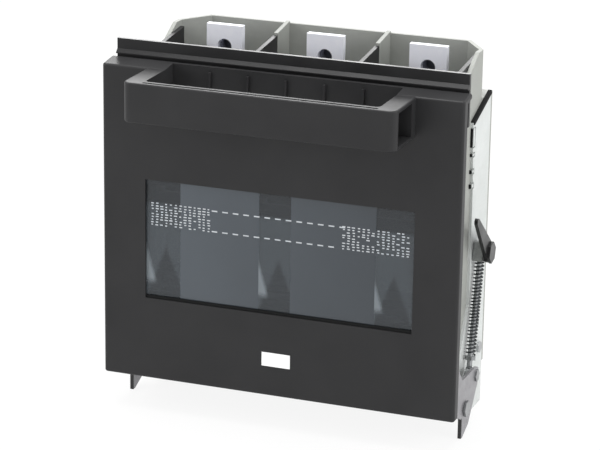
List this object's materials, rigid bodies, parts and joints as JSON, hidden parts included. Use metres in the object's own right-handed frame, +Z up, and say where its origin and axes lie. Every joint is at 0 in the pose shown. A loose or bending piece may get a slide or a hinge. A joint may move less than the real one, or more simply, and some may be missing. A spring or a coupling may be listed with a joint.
{
  "type": "fuse switch disconnector",
  "caption": "Fuse switch disconnector whose hinged front cover carries the blade fuses and swings out on a handle to break the circuit.",
  "frame": {"origin": "centre of the four panel screw holes, on the rear mounting plane", "axes": "+X across the poles to the right as seen from the front, +Y back into the mounting panel, +Z up"},
  "size_m": [0.268, 0.168, 0.272],
  "materials": {
    "black_cover_moulding": "fine matt moulded surface",
    "black_shroud_moulding": "satin moulded surface",
    "black_knob": "satin moulded surface",
    "grey_housing_moulding": "matt glass-filled moulding",
    "grey_chamber_moulding": "matt moulding",
    "tinted_pane": "grey tinted plastic with clear strips and white marking",
    "white_label": "plain white",
    "silvered_terminal": "silver-plated copper",
    "silvered_jaw": "silver-plated copper",
    "silvered_blade": "silver-plated copper",
    "fuse_ceramic": "unglazed steatite",
    "spring_steel": "bare spring steel",
    "coil_spring_steel": "dark oiled wire",
    "arc_plate_steel": "zinc-plated sheet",
    "galvanised_sheet": "galvanised",
    "zinc_plated_arm": "zinc-plated",
    "bright_steel": "bright turned",
    "zinc_plated_screws": "zinc-plated"
  },
  "bodies": {
    "base": {"base_housing": "grey_housing_moulding", "upper_shroud": "black_shroud_moulding", "lower_shroud": "black_shroud_moulding", "line_terminal_1": "silvered_terminal", "line_terminal_2": "silvered_terminal", "line_terminal_3": "silvered_terminal", "load_terminal_1": "silvered_terminal", "load_terminal_2": "silvered_terminal", "load_terminal_3": "silvered_terminal", "line_jaw_1": "silvered_jaw", "line_jaw_2": "silvered_jaw", "line_jaw_3": "silvered_jaw", "load_jaw_1": "silvered_jaw", "load_jaw_2": "silvered_jaw", "load_jaw_3": "silvered_jaw", "line_jaw_springs": "spring_steel", "load_jaw_springs": "spring_steel", "arc_chamber_1": "grey_chamber_moulding", "arc_chamber_2": "grey_chamber_moulding", "arc_chamber_3": "grey_chamber_moulding", "arc_plates_1": "arc_plate_steel", "arc_plates_2": "arc_plate_steel", "arc_plates_3": "arc_plate_steel", "contact_screws": "zinc_plated_screws", "side_plate_left": "galvanised_sheet", "side_plate_right": "galvanised_sheet", "hinge_pin_left": "bright_steel", "hinge_pin_right": "bright_steel", "side_screws_left": "zinc_plated_screws", "side_screws_right": "zinc_plated_screws"},
    "cover": {"front_cover": "black_cover_moulding", "window_pane": "tinted_pane", "label_plate": "white_label", "fuse_carrier": "black_cover_moulding", "fuse_body_1": "fuse_ceramic", "fuse_body_2": "fuse_ceramic", "fuse_body_3": "fuse_ceramic", "fuse_line_contact_1": "silvered_blade", "fuse_line_contact_2": "silvered_blade", "fuse_line_contact_3": "silvered_blade", "fuse_load_contact_1": "silvered_blade", "fuse_load_contact_2": "silvered_blade", "fuse_load_contact_3": "silvered_blade", "fuse_clips_1": "spring_steel", "fuse_clips_2": "spring_steel", "fuse_clips_3": "spring_steel", "carrier_screws": "zinc_plated_screws", "arm_screws": "zinc_plated_screws", "hinge_arm_left": "zinc_plated_arm", "hinge_arm_right": "zinc_plated_arm", "crank_pin_left": "bright_steel", "crank_pin_right": "bright_steel"},
    "rod_left": {"guide_rod_left": "bright_steel", "drive_spring_left": "coil_spring_steel"},
    "trunnion_left": {"trunnion_left": "bright_steel", "switch_cam_left": "black_knob"},
    "rod_right": {"guide_rod_right": "bright_steel", "drive_spring_right": "coil_spring_steel"},
    "trunnion_right": {"trunnion_right": "bright_steel", "switch_cam_right": "black_knob"}
  },
  "joints": [
    {"name": "cover_hinge", "type": "hinge", "parent": "base", "child": "cover", "pos_m": [0, -0.082, -0.111], "axis": [1, 0, 0], "range_deg": [0, 66]},
    {"name": "rod_pivot_left", "type": "hinge", "parent": "cover", "child": "rod_left", "pos_m": [-0.1234, -0.05701, -0.0944], "axis": [1, 0, 0], "range_deg": [-87.1, 0], "deforming": ["drive_spring_left"]},
    {"name": "trunnion_pivot_left", "type": "hinge", "parent": "base", "child": "trunnion_left", "pos_m": [-0.1234, -0.037, -0.007], "axis": [1, 0, 0], "range_deg": [-21.1, 0]},
    {"name": "rod_pivot_right", "type": "hinge", "parent": "cover", "child": "rod_right", "pos_m": [0.1234, -0.05701, -0.0944], "axis": [1, 0, 0], "range_deg": [-87.1, 0], "deforming": ["drive_spring_right"]},
    {"name": "trunnion_pivot_right", "type": "hinge", "parent": "base", "child": "trunnion_right", "pos_m": [0.1234, -0.037, -0.007], "axis": [1, 0, 0], "range_deg": [-21.1, 0]}
  ],
  "couplings": [
    {"joint": "rod_pivot_left", "follows": "cover_hinge", "ratio": -1.3182},
    {"joint": "trunnion_pivot_left", "follows": "cover_hinge", "ratio": -0.31818},
    {"joint": "rod_pivot_right", "follows": "cover_hinge", "ratio": -1.3182},
    {"joint": "trunnion_pivot_right", "follows": "cover_hinge", "ratio": -0.31818}
  ]
}
